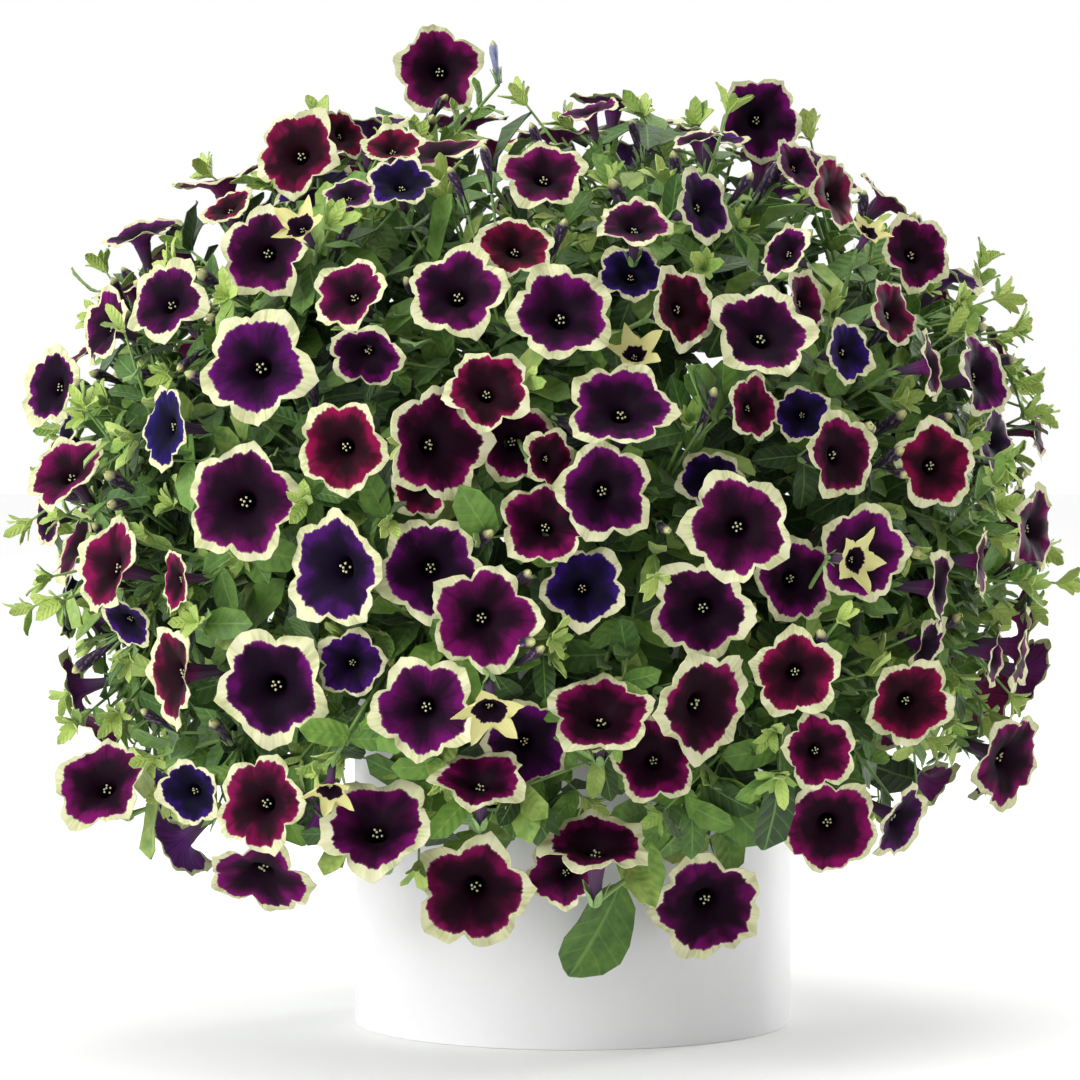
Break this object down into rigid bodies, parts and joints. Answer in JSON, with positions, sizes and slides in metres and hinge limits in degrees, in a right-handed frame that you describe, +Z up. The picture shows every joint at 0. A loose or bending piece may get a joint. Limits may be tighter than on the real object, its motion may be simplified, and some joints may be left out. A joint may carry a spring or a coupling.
{
  "type": "potted petunia",
  "caption": "Mounding, trailing petunia in full flower in a plain white cylinder pot, with leafy stems and sprays of picotee funnel blooms.",
  "frame": {"origin": "middle of the pot's flat underside, on the surface it stands on", "axes": "+Z up along the pot's axis, -Y towards the front that the plant shows best, +X to the right seen from the front"},
  "size_m": [0.5627, 0.5516, 0.5475],
  "materials": {
    "pot": "smooth moulded white plastic with a satin gloss",
    "soil": "dark crumbly potting compost",
    "foliage": "mid-green leaves, finely hairy, on lighter green stems",
    "petals": "velvety crimson-purple petals with darker veins and a cream edge"
  },
  "bodies": {
    "root": {"pot": "pot", "potting_soil": "soil", "leafy_stem_01": "foliage", "leafy_stem_02": "foliage", "leafy_stem_03": "foliage", "leafy_stem_04": "foliage", "leafy_stem_05": "foliage", "leafy_stem_06": "foliage", "leafy_stem_07": "foliage", "leafy_stem_08": "foliage", "leafy_stem_09": "foliage", "leafy_stem_10": "foliage", "leafy_stem_11": "foliage", "leafy_stem_12": "foliage", "leafy_stem_13": "foliage", "leafy_stem_14": "foliage", "leafy_stem_15": "foliage", "leafy_stem_16": "foliage", "leafy_stem_17": "foliage", "leafy_stem_18": "foliage", "leafy_stem_19": "foliage", "leafy_stem_20": "foliage", "leafy_stem_21": "foliage", "leafy_stem_22": "foliage", "leafy_stem_23": "foliage", "leafy_stem_24": "foliage", "leafy_stem_25": "foliage", "leafy_stem_26": "foliage", "bloom_spray_01": "petals", "bloom_spray_02": "petals", "bloom_spray_03": "petals", "bloom_spray_04": "petals", "bloom_spray_05": "petals", "bloom_spray_06": "petals", "bloom_spray_07": "petals", "bloom_spray_08": "petals", "bloom_spray_09": "petals", "bloom_spray_10": "petals", "bloom_spray_11": "petals", "bloom_spray_12": "petals", "bloom_spray_13": "petals", "bloom_spray_14": "petals", "bloom_spray_15": "petals", "bloom_spray_16": "petals", "bloom_spray_17": "petals", "bloom_spray_18": "petals", "bloom_spray_19": "petals", "bloom_spray_20": "petals", "bloom_spray_21": "petals", "bloom_spray_22": "petals", "bloom_spray_23": "petals", "bloom_spray_24": "petals", "bloom_spray_25": "petals", "bloom_spray_26": "petals"}
  },
  "joints": []
}
